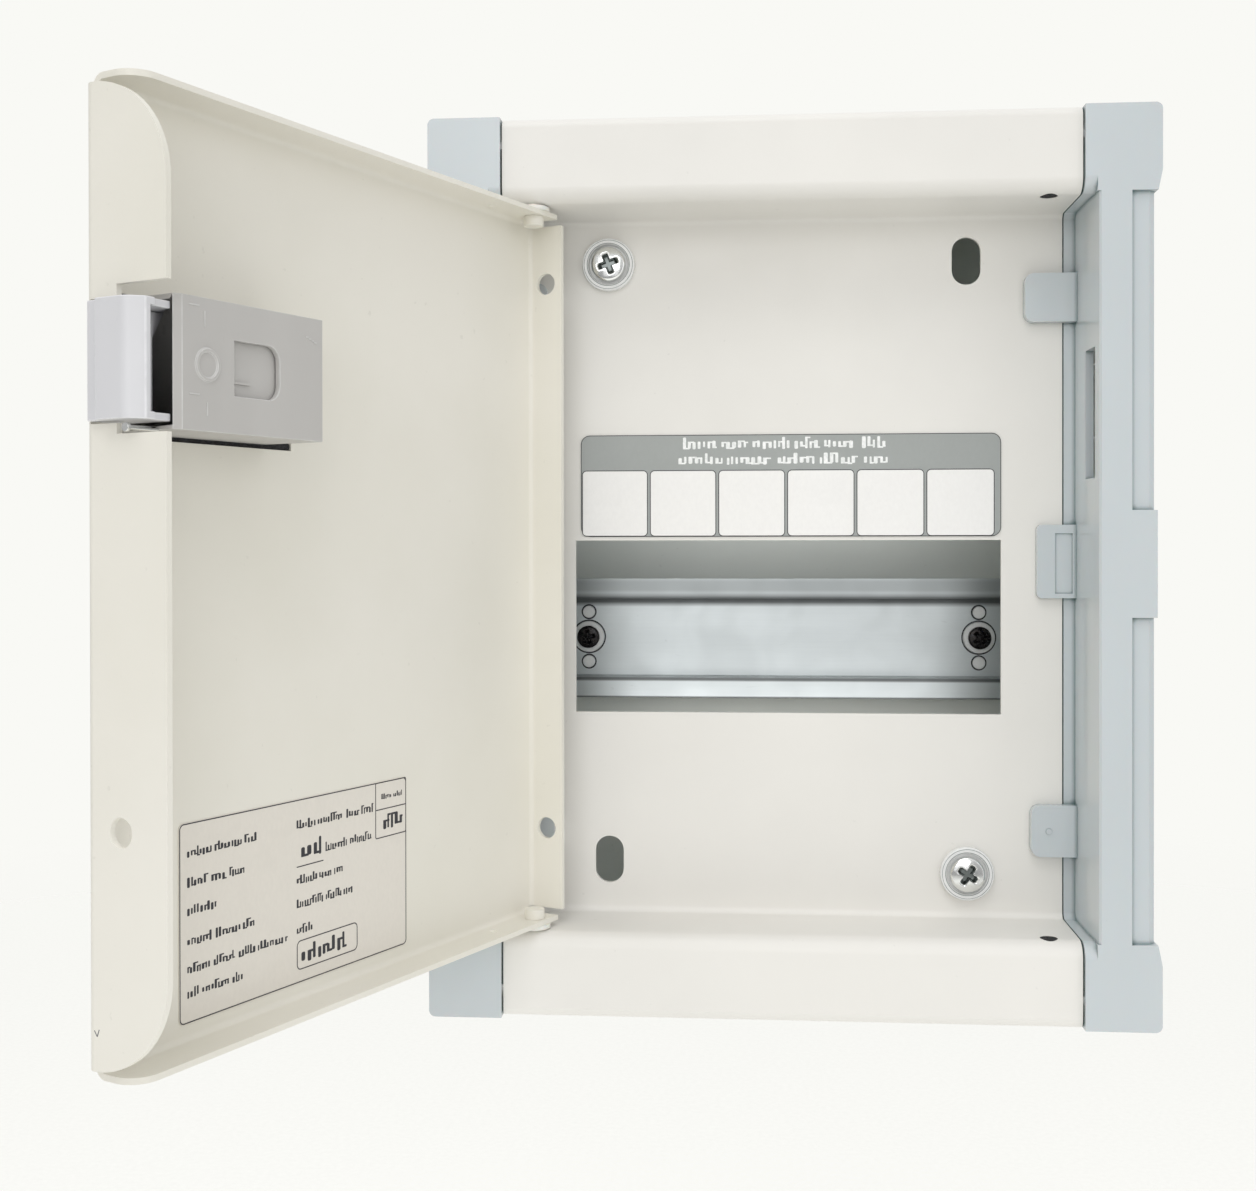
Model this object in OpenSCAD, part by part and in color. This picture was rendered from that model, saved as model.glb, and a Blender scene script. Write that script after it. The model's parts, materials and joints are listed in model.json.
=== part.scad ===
// Small residential load centre: a wall box with a DIN rail, a recessed breaker plate
// between two moulded side bars, and a hinged door that stands open.
// X runs to the right, Y runs back to the wall, Z runs up. The origin is the middle of
// the box's back face, so the wall is the plane y = 0 and the front lies at negative y.

/* [Cover] */
// Height of the sheet-metal cover
cover_h = 224; // [220:1:236]
// Width over the corner blocks of the two side bars
overall_w = 179; // [179:1:190]
// Distance from the wall to the cover's front face
cover_depth = 88; // [86:1:100]
// How far the breaker plate lies behind the front face
recess_depth = 25; // [25:1:28]

/* [Breakers] */
// Number of breaker modules in the window
module_count = 6; // [2:1:6]
// Width of one breaker module
module_w = 18; // [17.5:0.5:18]
// Height of the breaker window
window_h = 45.3; // [45:0.1:47]

/* [Door] */
// Angle that the door stands open, where 0 is shut
door_open = 114.7; // [0:0.1:117]
// Depth of the door's flange on the latch side
free_flange = 20.2; // [18:0.2:20.4]

/* [Latch] */
// Height of the latch above the middle of the box
latch_z = 38; // [28:1:44]
// How far the latch bolt is drawn back
bolt_draw = 0; // [0:0.5:3]

/* [Hidden] */
$fn = 48;
eps = 0.01;

// Sheet metal
sheet_t = 1.2;
bend_r = 4;
plate_bend_r = 1.6;
cover_gap = 0.35;
edge_r = 2.5;
front = -cover_depth;
plate = front + recess_depth;
cover_back = -70;

// Side bars, by distance from the middle plane
joint_x = 71.3;
wall_x = 74.2;
step_x = 82.3;
block_x = overall_w / 2;
band_x = block_x - 1.4;
mid_x = block_x - 1.2;
bar_t = 2;
bar_proud = 1.3;
face = front - bar_proud;
bar_top = cover_h / 2;
inner_z = cover_h / 2 - 21;
block_r = 1.6;
block_taper = [1, 5];
rib_count = 2;
rib_t = 1.2;
lip_t = 1.5;
tab_reach = [61, 62.6];
mid_tab_reach = 64.2;
tab_t = 3;
tab_screw_x = 69;
tab_zs = [[62.9, 75.4], [-74.6, -61.4]];
mid_tab_z = [-8.1, 10.8];
mid_block_z = [-12, 14];
strike_h = 32;
strike_n = [5.3, 14.9];

// Wall box
box_w = 171;
box_h = 216;
box_front = -74;
knockout_r = 10.2;
knockout_gap = 0.5;
knockout_xs = [-48, 0, 48];
knockout_zs = [-45, 45];
wall_hole_r = 3.25;
wall_hole_x = 66;
wall_hole_z = 88;

// DIN rail
rail_z = -21.5;
rail_w = 35;
rail_h = 7.5;
rail_t = 1;
rail_web = 25;
rail_len = 150;
rail_lip_y = front + 71;
rail_back = rail_lip_y + rail_h;
rail_fix_x = 57.4;
rivet_dz = 7.4;
bracket_w = 18;
bracket_h = 30;
foot_h = 9;

// Terminal bars
bar_ways = 7;
way_pitch = 11;
terminal_w = 9;
terminal_h = 8;
terminal_len = bar_ways * way_pitch + 20;
neutral_z = 58;
earth_z = -62;
terminal_back = -20;
post_x = terminal_len / 2 - 5;

// Cover fixings
fix_x = 46.5;
fix_z = 79.5;
post_r = 4.5;
screw_r = 2;
screw_clear = 0.15;
bush_r = 6.9;
head_r = 4.5;
slot_w = 7.4;
slot_h = 12.3;

// Breaker window
window_w = module_count * module_w + 2.8;
window_z = -15.7;
strip_w = module_count * module_w + 1.4;
strip_z = [7.9, 34.7];
label_w = 17;
label_t = 0.15;
strip_t = 0.3;
strip_corner = 2.4;

// Door, in its shut position
door_left = -72;
door_right = 72.6;
door_front = front - 2.2;
door_half = inner_z - 1.4;
door_bend = 2.4;
end_flange = 10.2;
hinge_flange = 10.6;
flange_end_r = 18.5;
hinge_x = -63.7;
hinge_y = door_front + 6.9;
pin_r = 2.15;
pin_fit = 0.05;
washer_r = 4;
hinge_hole_r = 2.7;
hinge_hole_zs = [72.6, -66.8];
free_hole_z = -44.5;
drain_x = door_left + 24;

// Latch, by x on the shut door and by depth in from the door's front
housing_x = [27.6, 66.3];
housing_n = 16.2;
housing_h = 24;
wall_t = 1;
opening_x = [20, 66.9];
opening_z = [latch_z - 12.9, latch_z + 13.2];
bezel_x = [16, 66.9];
bezel_h = 32;
bezel_t = 1.5;
grip_x = [38, 55];
grip_h = 14;
boss_x = 58.9;
head_h = 21.2;
head_x = 70.6;
nose = [
    [73.8, 2.2], [73.8, 5.7], [75.4, 5.9], [75.4, 12], [75.2, 12.9], [74.7, 13.7],
    [72.8, 15.6]
];
neck_n = [2.2, 14.6];
pocket_x = [62, 71.6];
pocket_h = 18.4;
pocket_n = 6;
notch_n = [1.6, 8.3];
core_x = [38.5, 53];
core_n = 14.4;
housing_chamfer = [1.4, 1];
spring_r = 3;
spring_wire = 0.45;
spring_turns = 6;
spring_n = 9;

// ---- helpers ----

module slab(x, y, z) {
    translate([x[0], y[0], z[0]])
        cube([x[1] - x[0], y[1] - y[0], z[1] - z[0]]);
}

// Extrudes a (y, z) outline from x[0] to x[1]
module along_x(x) {
    translate([x[0], 0, 0])
        rotate([90, 0, 90])
            linear_extrude(x[1] - x[0])
                children();
}

// Extrudes an (x, z) outline from y[0] to y[1]
module along_y(y) {
    translate([0, y[1], 0])
        rotate([90, 0, 0])
            linear_extrude(y[1] - y[0])
                children();
}

// Extrudes an (x, y) outline from z[0] to z[1]
module along_z(z) {
    translate([0, 0, z[0]])
        linear_extrude(z[1] - z[0])
            children();
}

module rod_y(x, z, r, y) {
    translate([x, y[0], z])
        rotate([-90, 0, 0])
            cylinder(r = r, h = y[1] - y[0]);
}

module rod_x(y, z, r, x) {
    translate([x[0], y, z])
        rotate([0, 90, 0])
            cylinder(r = r, h = x[1] - x[0]);
}

module rod_z(x, y, r, z) {
    translate([x, y, z[0]])
        cylinder(r = r, h = z[1] - z[0]);
}

// Rectangle from corner a to corner b with round corners, all true arcs
module round_rect(a, b, r) {
    translate([a[0] + r, a[1]])
        square([b[0] - a[0] - 2 * r, b[1] - a[1]]);
    translate([a[0], a[1] + r])
        square([b[0] - a[0], b[1] - a[1] - 2 * r]);
    for (px = [a[0] + r, b[0] - r], py = [a[1] + r, b[1] - r])
        translate([px, py])
            circle(r = r);
}

// Quarter of a bent sheet: centre, outer radius, thickness and the quadrant's signs
module bend(centre, r_out, t, signs) {
    translate(centre)
        intersection() {
            difference() {
                circle(r = r_out);
                circle(r = r_out - t);
            }
            translate([signs[0] < 0 ? -r_out : 0, signs[1] < 0 ? -r_out : 0])
                square(r_out);
        }
}

module both_ends_2d() {
    children();
    mirror([0, 1])
        children();
}

// Vertical slot with round ends
module obround(x, z, w, h) {
    translate([x - w / 2, z - (h - w) / 2])
        square([w, h - w]);
    for (s = [-1, 1])
        translate([x, z + s * (h - w) / 2])
            circle(r = w / 2);
}

// ---- wall box ----

module knockout_ring() {
    difference() {
        circle(r = knockout_r + knockout_gap / 2);
        circle(r = knockout_r - knockout_gap / 2);
        square([3 * knockout_r, 3], center = true);
    }
}

module back_box() {
    half = box_w / 2;
    color("gainsboro") difference() {
        slab([-half, half], [box_front, 0], [-box_h / 2, box_h / 2]);
        slab([-half + sheet_t, half - sheet_t], [box_front - 1, -sheet_t],
            [-box_h / 2 + sheet_t, box_h / 2 - sheet_t]);
        for (x = knockout_xs)
            translate([x, box_front / 2, 0])
                along_z([-box_h, box_h])
                    knockout_ring();
        for (z = knockout_zs)
            translate([0, box_front / 2, z])
                along_x([-box_w, box_w])
                    knockout_ring();
        for (x = [-wall_hole_x, wall_hole_x], z = [-wall_hole_z, wall_hole_z])
            rod_y(x, z, wall_hole_r, [-sheet_t - 1, 1]);
    }
}

module cover_posts() {
    color("silver") for (s = [-1, 1])
        difference() {
            rod_y(-s * fix_x, s * fix_z, post_r, [plate + sheet_t + 3, -sheet_t]);
            rod_y(-s * fix_x, s * fix_z, screw_r + screw_clear,
                [plate, plate + 25]);
        }
}

// ---- rail ----

module rail_brackets() {
    top = rail_back;
    color("silver") for (s = [-1, 1])
        difference() {
            translate([s * rail_fix_x - bracket_w / 2, 0, rail_z])
                along_x([0, bracket_w]) {
                    translate([top, -bracket_h / 2])
                        square([sheet_t, bracket_h]);
                    both_ends_2d() {
                        translate([top, bracket_h / 2 - sheet_t])
                            square([-sheet_t - top, sheet_t]);
                        translate([-2 * sheet_t, bracket_h / 2 - foot_h])
                            square([sheet_t, foot_h]);
                    }
                }
            rod_y(s * rail_fix_x, rail_z, screw_r + screw_clear, [top - 1, top + 3]);
            for (dz = [-rivet_dz, rivet_dz])
                rod_y(s * rail_fix_x, rail_z + dz, screw_r - 0.5, [top - 1, top + 3]);
        }
}

module din_rail() {
    lip = (rail_w - rail_web) / 2;
    color("lightsteelblue") difference() {
        translate([0, 0, rail_z])
            along_x([-rail_len / 2, rail_len / 2]) {
                translate([rail_back - rail_t, -rail_web / 2])
                    square([rail_t, rail_web]);
                both_ends_2d() {
                    translate([rail_lip_y, rail_web / 2 - rail_t])
                        square([rail_h, rail_t]);
                    translate([rail_lip_y, rail_web / 2 - rail_t])
                        square([rail_t, lip + rail_t]);
                }
            }
        for (s = [-1, 1]) {
            rod_y(s * rail_fix_x, rail_z, screw_r + screw_clear,
                [rail_back - 2, rail_back + 1]);
            for (dz = [-rivet_dz, rivet_dz])
                rod_y(s * rail_fix_x, rail_z + dz, screw_r - 0.5,
                    [rail_back - 2, rail_back + 1]);
        }
    }
}

module rail_rivets() {
    web_face = rail_back - rail_t;
    color("lightgray") for (s = [-1, 1], dz = [-rivet_dz, rivet_dz]) {
        rod_y(s * rail_fix_x, rail_z + dz, 1.8, [web_face - 0.8, web_face]);
        rod_y(s * rail_fix_x, rail_z + dz, screw_r - 0.5, [web_face, rail_back + 1.6]);
    }
}

module rail_washers() {
    web_face = rail_back - rail_t;
    color("silver") for (s = [-1, 1])
        difference() {
            rod_y(s * rail_fix_x, rail_z, 4.6, [web_face - 0.9, web_face]);
            rod_y(s * rail_fix_x, rail_z, screw_r + screw_clear,
                [web_face - 2, web_face + 1]);
        }
}

module rail_screws() {
    under = rail_back - rail_t - 0.9;
    color("dimgray") for (s = [-1, 1]) {
        difference() {
            rod_y(s * rail_fix_x, rail_z, 3.3, [under - 2.4, under]);
            rod_y(s * rail_fix_x, rail_z, 1.3, [under - 3, under - 1]);
        }
        rod_y(s * rail_fix_x, rail_z, screw_r, [under, -sheet_t - 1]);
    }
}

// ---- terminal bars ----

module terminal_bar(z) {
    y = [terminal_back - terminal_w, terminal_back];
    difference() {
        slab([-terminal_len / 2, terminal_len / 2], y,
            [z - terminal_h / 2, z + terminal_h / 2]);
        for (i = [0:bar_ways - 1]) {
            x = (i - (bar_ways - 1) / 2) * way_pitch;
            rod_z(x, terminal_back - 3.5, 2.6, [z - terminal_h, z + terminal_h]);
            rod_y(x, z, 2.1, [y[0] - 1, terminal_back - 3.5]);
        }
        for (s = [-1, 1])
            rod_y(s * post_x, z, screw_r + screw_clear, [y[0] - 1, y[1] + 1]);
    }
}

module terminal_screws(z) {
    top = terminal_back - terminal_w;
    for (i = [0:bar_ways - 1])
        translate([(i - (bar_ways - 1) / 2) * way_pitch, 0, z])
            difference() {
                union() {
                    rod_y(0, 0, 3, [top - 2.6, top - 0.6]);
                    rod_y(0, 0, screw_r, [top - 0.6, top + 3]);
                }
                slab([-4, 4], [top - 3, top - 1.6], [-0.4, 0.4]);
            }
    for (s = [-1, 1])
        translate([s * post_x, 0, z])
            difference() {
                union() {
                    rod_y(0, 0, 3.2, [top - 2, top]);
                    rod_y(0, 0, screw_r, [top, terminal_back + 6]);
                }
                slab([-4, 4], [top - 3, top - 1], [-0.5, 0.5]);
            }
}

module terminal_posts(z, half) {
    for (s = [-1, 1])
        difference() {
            slab([s * post_x - half, s * post_x + half], [terminal_back, -sheet_t],
                [z - half, z + half]);
            rod_y(s * post_x, z, screw_r + screw_clear,
                [terminal_back - 1, terminal_back + 8]);
        }
}

module neutral_supports() {
    color("royalblue") terminal_posts(neutral_z, 6);
}

module neutral_bar() {
    color("goldenrod") terminal_bar(neutral_z);
}

module neutral_screws() {
    color("silver") terminal_screws(neutral_z);
}

module earth_posts() {
    color("silver") terminal_posts(earth_z, 4);
}

module earth_bar() {
    color("goldenrod") terminal_bar(earth_z);
}

module earth_screws() {
    color("silver") terminal_screws(earth_z);
}

// ---- cover ----

// Half of the recess's section: its upper wall, the bend into the plate, and the plate
module recess_half(t, wall_front) {
    translate([wall_front, inner_z])
        square([plate - plate_bend_r - wall_front, t]);
    bend([plate - plate_bend_r, inner_z - plate_bend_r], plate_bend_r + t, t, [1, 1]);
    translate([plate, 0])
        square([t, inner_z - plate_bend_r]);
}

// Half of the cover's section, from its top return to the middle of the plate
module cover_half() {
    top = cover_h / 2;
    translate([front + edge_r, top - sheet_t])
        square([cover_back - front - edge_r, sheet_t]);
    bend([front + edge_r, top - edge_r], edge_r, sheet_t, [-1, 1]);
    translate([front, inner_z + bend_r])
        square([sheet_t, top - edge_r - inner_z - bend_r]);
    bend([front + bend_r, inner_z + bend_r], bend_r, sheet_t, [-1, -1]);
    recess_half(sheet_t, front + bend_r);
}

module front_cover() {
    color("whitesmoke") difference() {
        along_x([cover_gap - joint_x, joint_x - cover_gap])
            both_ends_2d()
                cover_half();
        slab([-window_w / 2, window_w / 2], [plate - 1, plate + 3],
            [window_z - window_h / 2, window_z + window_h / 2]);
        for (s = [-1, 1]) {
            rod_y(-s * fix_x, s * fix_z, 3.9, [plate - 1, plate + 3]);
            along_y([plate - 1, plate + 3])
                obround(s * fix_x, s * (fix_z - 1.2) + 1, slot_w, slot_h);
            rod_z(s * hinge_x, hinge_y, pin_r + pin_fit, [-inner_z - 2, inner_z + 2]);
        }
        for (s = [-1, 1], z = tab_zs)
            rod_y(s * tab_screw_x, s * (z[0] + z[1]) / 2, 1.5, [plate - 1, plate + 3]);
    }
}

// Open-backed section of a bar between its corner blocks, as an (x, y) outline
module bar_section() {
    band_face = face + bar_proud;
    polygon([
        [wall_x, plate],
        [wall_x, front + 9],
        [wall_x + 0.4, face + 0.5],
        [wall_x + 0.9, face],
        [step_x, face],
        [step_x, band_face],
        [band_x - 1.5, band_face],
        [band_x, band_face + 1.5],
        [band_x, cover_back],
        [band_x - bar_t, cover_back],
        [band_x - bar_t, band_face + bar_t],
        [wall_x + bar_t, band_face + bar_t],
        [wall_x + bar_t, plate]
    ]);
}

// Corner block's outline in (x, z): round on its outer top, tapered down to the band
module block_outline(inset) {
    x = [joint_x + inset, block_x - inset];
    z = [inner_z + inset, bar_top - inset];
    r = max(block_r - inset, 0.3);
    translate([x[0], z[0]])
        square([band_x - block_x + x[1] - x[0], z[1] - z[0]]);
    polygon([
        [x[0], z[0]],
        [x[1] - block_taper[0], z[0]],
        [x[1], z[0] + block_taper[1]],
        [x[1], z[1] - r],
        [x[1] - r, z[1] - r],
        [x[1] - r, z[1]],
        [x[0], z[1]]
    ]);
    translate([x[1] - r, z[1] - r])
        circle(r = r);
}

// Crossed ribs that stiffen the hollow block from behind
module block_ribs() {
    x = [joint_x + bar_t, block_x - bar_t];
    z = [inner_z + bar_t, bar_top - bar_t];
    for (i = [1:rib_count]) {
        px = x[0] + (x[1] - x[0]) * i / (rib_count + 1);
        pz = z[0] + (z[1] - z[0]) * i / (rib_count + 1);
        slab([px - rib_t / 2, px + rib_t / 2], [face + 1, cover_back - 5],
            [z[0] - 1, z[1] + 1]);
        slab([x[0] - 1, x[1] + 1], [face + 1, cover_back - 5],
            [pz - rib_t / 2, pz + rib_t / 2]);
    }
}

module corner_block() {
    difference() {
        union() {
            difference() {
                along_y([face, cover_back])
                    block_outline(0);
                along_y([face + bar_t, cover_back + 1])
                    block_outline(bar_t);
            }
            block_ribs();
        }
        // the cheek beside the sheet follows the sheet's front bend
        along_x([joint_x - 1, wall_x])
            difference() {
                translate([face - 1, inner_z - 1])
                    square(bend_r + 1);
                translate([face + bend_r, inner_z + bend_r])
                    circle(r = bend_r);
            }
    }
}

// The wall box's walls, with a little room round them
module box_walls(room) {
    half_w = box_w / 2 + room;
    half_h = box_h / 2 + room;
    t = sheet_t + 2 * room;
    difference() {
        slab([-half_w, half_w], [box_front - room, 0], [-half_h, half_h]);
        slab([-half_w + t, half_w - t], [box_front - 1, 1], [-half_h + t, half_h - t]);
    }
}

// A hook over the plate's edge, rooted in the bar's inner wall
module tab(z, reach, t, r) {
    along_y([plate - t, plate])
        difference() {
            round_rect([reach, z[0]], [wall_x + bar_t + r, z[1]], r);
            translate([wall_x + bar_t, z[0] - 1])
                square([2 * r + 1, z[1] - z[0] + 2]);
        }
}

module side_bar() {
    difference() {
        union() {
            along_x([joint_x, wall_x + bar_t])
                both_ends_2d()
                    recess_half(bar_t, face + bend_r);
            along_z([-inner_z - eps, inner_z + eps])
                bar_section();
            corner_block();
            mirror([0, 0, 1])
                corner_block();
            slab([step_x - eps, mid_x], [face, face + bar_t], mid_block_z);
            slab([band_x - bar_t, mid_x], [face, cover_back], mid_block_z);
            slab([66, wall_x + bar_t], [plate + sheet_t, plate + sheet_t + lip_t],
                [-80, 80]);
            for (i = [0, 1])
                tab(tab_zs[i], tab_reach[i], tab_t, 2.4);
            tab(mid_tab_z, mid_tab_reach, tab_t - 1, 1.3);
            rod_y(67, (tab_zs[1][0] + tab_zs[1][1]) / 2, 0.7, [plate - tab_t - 0.4, plate]);
        }
        // shallow moulded panel in the middle hook
        slab([mid_tab_reach + 4.6, mid_tab_reach + 9], [plate - tab_t, plate - tab_t + 1.4],
            [mid_tab_z[0] + 1.2, mid_tab_z[1] - 2.2]);
        // latch strike, an opening through the inner wall
        slab([wall_x - 1, wall_x + bar_t + 1], [door_front + strike_n[0], door_front + strike_n[1]],
            [latch_z - strike_h / 2, latch_z + strike_h / 2]);
        box_walls(0.3);
        // the plate's edge sits here, between the tabs and the lip
        slab([60, joint_x], [plate, plate + sheet_t], [-85, 85]);
        for (z = tab_zs)
            rod_y(tab_screw_x, (z[0] + z[1]) / 2, 1.32,
                [plate - tab_t + 0.8, plate + 6]);
    }
}

module right_side_bar() {
    color("lightslategray") side_bar();
}

module left_side_bar() {
    color("lightslategray") rotate([0, 180, 0])
        side_bar();
}

module side_bar_screws() {
    under = plate + sheet_t + lip_t;
    color("silver") for (s = [-1, 1], z = tab_zs)
        translate([s * tab_screw_x, 0, s * (z[0] + z[1]) / 2]) {
            difference() {
                rod_y(0, 0, 2.5, [under, under + 1.6]);
                slab([-3, 3], [under + 0.9, under + 2], [-0.35, 0.35]);
            }
            rod_y(0, 0, 1.25, [plate - tab_t + 1, under]);
        }
}

module marking_strip() {
    color("darkgray") along_y([plate - strip_t, plate])
        translate([0.7, 0])
            round_rect([-strip_w / 2, strip_z[0]], [strip_w / 2, strip_z[1]], strip_corner);
}

module marking_labels() {
    color("white") for (i = [0:module_count - 1]) {
        x = (i - (module_count - 1) / 2) * module_w;
        along_y([plate - strip_t - label_t, plate - strip_t])
            round_rect([x - label_w / 2, strip_z[0] + 0.3],
                [x + label_w / 2, strip_z[0] + 0.3 + label_w], 1);
    }
}

module cover_screw_bushes() {
    color("azure") for (s = [-1, 1])
        translate([-s * fix_x, 0, s * fix_z])
            difference() {
                union() {
                    rod_y(0, 0, bush_r, [plate - 2.2, plate]);
                    rod_y(0, 0, 3.8, [plate - eps, plate + sheet_t + 2]);
                }
                rod_y(0, 0, head_r + 0.7, [plate - 4, plate - 0.9]);
                rod_y(0, 0, screw_r + 0.3, [plate - 2, plate + 5]);
            }
}

module cover_screws() {
    seat = plate - 0.9;
    color("silver") for (s = [-1, 1])
        translate([-s * fix_x, 0, s * fix_z])
            difference() {
                union() {
                    rod_y(0, 0, head_r, [seat - 3, seat]);
                    rod_y(0, 0, screw_r, [seat - eps, plate + 16]);
                }
                for (turn = [20, 110])
                    rotate([0, turn, 0])
                        slab([-3.4, 3.4], [seat - 4, seat - 1.4], [-0.65, 0.65]);
            }
}

// ---- door ----

// Turns what is modelled in the shut door's place to where the open door stands
module on_door() {
    translate([hinge_x, hinge_y, 0])
        rotate([0, 0, -door_open])
            translate([-hinge_x, -hinge_y, 0])
                children();
}

// The shut door's section in (x, y): hinge flange, panel and the free flange's bend
module door_section() {
    back = door_front + door_bend;
    translate([door_left, back])
        square([sheet_t, hinge_flange - door_bend]);
    bend([door_left + door_bend, back], door_bend, sheet_t, [-1, -1]);
    translate([door_left + door_bend, door_front])
        square([door_right - door_left - 2 * door_bend, sheet_t]);
    bend([door_right - door_bend, back], door_bend, sheet_t, [1, -1]);
}

// The free flange in (y, z), with large round corners at its free edge
module free_flange_outline() {
    a = [door_front + door_bend, -door_half + door_bend];
    b = [door_front + free_flange, door_half - door_bend];
    r = flange_end_r;
    difference() {
        translate(a)
            square([b[0] - a[0], b[1] - a[1]]);
        both_ends_2d()
            difference() {
                translate([b[0] - r, b[1] - r])
                    square(r + 1);
                translate([b[0] - r, b[1] - r])
                    circle(r = r);
            }
    }
}

// An end flange in (x, y), round at its back corner on the free side
module end_flange_outline() {
    r = 5;
    right = door_right - door_bend;
    back = door_front + end_flange;
    difference() {
        translate([door_left + door_bend, door_front + door_bend])
            square([right - door_left - door_bend, end_flange - door_bend]);
        difference() {
            translate([right - r, back - r])
                square(r + 1);
            translate([right - r, back - r])
                circle(r = r);
        }
    }
}

module door_panel() {
    half = door_half - door_bend;
    color("whitesmoke") on_door()
        difference() {
            union() {
                along_z([-half, half])
                    door_section();
                along_x([door_right - sheet_t, door_right])
                    free_flange_outline();
                for (s = [0, 1])
                    mirror([0, 0, s]) {
                        along_z([door_half - sheet_t, door_half])
                            end_flange_outline();
                        along_x([door_left + door_bend, door_right - door_bend])
                            bend([door_front + door_bend, half], door_bend, sheet_t,
                                [-1, 1]);
                    }
            }
            // latch: opening through the panel, then the notch in the free flange
            slab(opening_x, [door_front - 1, door_front + sheet_t + 1], opening_z);
            slab([door_right - 2 * sheet_t, door_right + 1],
                [door_front + notch_n[0], door_front + 30],
                [latch_z - head_h / 2 - 0.4, latch_z + head_h / 2 + 0.4]);
            slab([door_right - 2 * sheet_t, door_right + 1],
                [door_front + notch_n[1], door_front + 30], opening_z);
            rod_x(door_front + 9, free_hole_z, hinge_hole_r,
                [door_right - 3, door_right + 1]);
            for (z = hinge_hole_zs)
                rod_x(door_front + 6, z, hinge_hole_r, [door_left - 1, door_left + 3]);
            for (s = [-1, 1]) {
                rod_z(hinge_x, hinge_y, pin_r, [s * door_half - 4, s * door_half + 4]);
                rod_z(drain_x, door_front + 5, 1, [s * door_half - 4, s * door_half + 4]);
            }
        }
}

module door_label() {
    color("ivory") on_door()
        along_y([door_front + sheet_t, door_front + sheet_t + 0.2])
            round_rect([-18.2, -85.2], [51.6, -47], 1.2);
}

// Headed pin through the door's end flange and the cover's recess wall
module hinge_pin(side) {
    under = door_half - sheet_t;
    on_door()
        mirror([0, 0, side > 0 ? 0 : 1]) {
            rod_z(hinge_x, hinge_y, 2.5, [under - 2.5, under]);
            rod_z(hinge_x, hinge_y, pin_r, [under - eps, inner_z + sheet_t + 1.2]);
        }
}

module hinge_pin_top() {
    color("silver") hinge_pin(1);
}

module hinge_pin_bottom() {
    color("silver") hinge_pin(-1);
}

module hinge_washers() {
    color("white") on_door()
        for (s = [0, 1])
            mirror([0, 0, s])
                difference() {
                    rod_z(hinge_x, hinge_y, washer_r, [door_half, inner_z - 0.3]);
                    rod_z(hinge_x, hinge_y, pin_r, [door_half - 1, inner_z + 1]);
                }
}

// ---- latch ----

module latch_bezel() {
    z = [latch_z - bezel_h / 2, latch_z + bezel_h / 2];
    color("lightgray") on_door()
        difference() {
            along_y([door_front - bezel_t, door_front])
                round_rect([bezel_x[0], z[0]], [bezel_x[1], z[1]], 3);
            slab(grip_x, [door_front - 3, door_front + 1],
                [latch_z - grip_h / 2, latch_z + grip_h / 2]);
        }
}

// The window in the housing's back, flat towards the free edge and round at the other
module housing_window() {
    x = [39.9, 52];
    z = [latch_z - 5, latch_z + 5.2];
    r = 3;
    translate([x[0] + r, z[0]])
        square([x[1] - x[0] - r, z[1] - z[0]]);
    translate([x[0], z[0] + r])
        square([2 * r, z[1] - z[0] - 2 * r]);
    for (cz = [z[0] + r, z[1] - r])
        translate([x[0] + r, cz])
            circle(r = r);
}

module latch_housing() {
    back = door_front + housing_n;
    half = housing_h / 2;
    color("lightgray") on_door()
        difference() {
            union() {
                along_z([latch_z - half, latch_z + half])
                    polygon([
                        [housing_x[0], door_front],
                        [housing_x[1], door_front],
                        [housing_x[1], back - housing_chamfer[1]],
                        [housing_x[1] - housing_chamfer[0], back],
                        [housing_x[0], back]
                    ]);
                rod_y(boss_x, latch_z, 3, [back - 1, back + 0.4]);
            }
            slab([housing_x[0] + wall_t, housing_x[1] + 1],
                [door_front - 1, back - 1.2],
                [latch_z - half + wall_t, latch_z + half - wall_t]);
            along_y([back - 3, back + 1])
                housing_window();
            rod_y(boss_x, latch_z, 2.3, [back, back + 1]);
        }
}

module latch_bolt() {
    half = head_h / 2;
    y = door_front;
    color("lavender") on_door()
        translate([-bolt_draw, 0, 0]) {
            difference() {
                along_z([latch_z - half, latch_z + half])
                    polygon(concat(
                        [[housing_x[1] - 6, y + neck_n[0]]],
                        [for (p = nose) [p[0], y + p[1]]],
                        [
                            [head_x, y + nose[6][1]],
                            [head_x, y + neck_n[1]],
                            [housing_x[1] - 6, y + neck_n[1]]
                        ]
                    ));
                slab(pocket_x, [y + pocket_n, y + 20],
                    [latch_z - pocket_h / 2, latch_z + pocket_h / 2]);
            }
            slab([core_x[0] - 2, housing_x[1] - 6], [y + neck_n[0], y + 5],
                [latch_z - half, latch_z + half]);
            slab(core_x, [y + neck_n[0], y + core_n], [latch_z - 7.5, latch_z + 7.5]);
            slab([44, 50], [y - 1, y + 3], [latch_z - 6, latch_z + 6]);
        }
}

// Coil spring between the housing's closed end and the bolt
module latch_spring() {
    x = [housing_x[0] + wall_t, core_x[0]];
    pitch = (x[1] - x[0] - 2 * spring_wire) / (spring_turns - 1);
    color("silver") on_door()
        for (i = [0:spring_turns - 1])
            translate([x[0] + spring_wire + i * pitch, door_front + spring_n, latch_z])
                rotate([0, 90, 0])
                    rotate_extrude()
                        translate([spring_r, 0])
                            circle(r = spring_wire);
}

// Straight wire with a small head, from the housing's end out under the bolt
module latch_wire() {
    z = latch_z - 11.9;
    y = door_front + 11.5;
    color("silver") on_door() {
        rod_x(y, z, 0.45, [housing_x[1], 73]);
        rod_x(y, z, 0.8, [73, 73.8]);
    }
}

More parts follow.
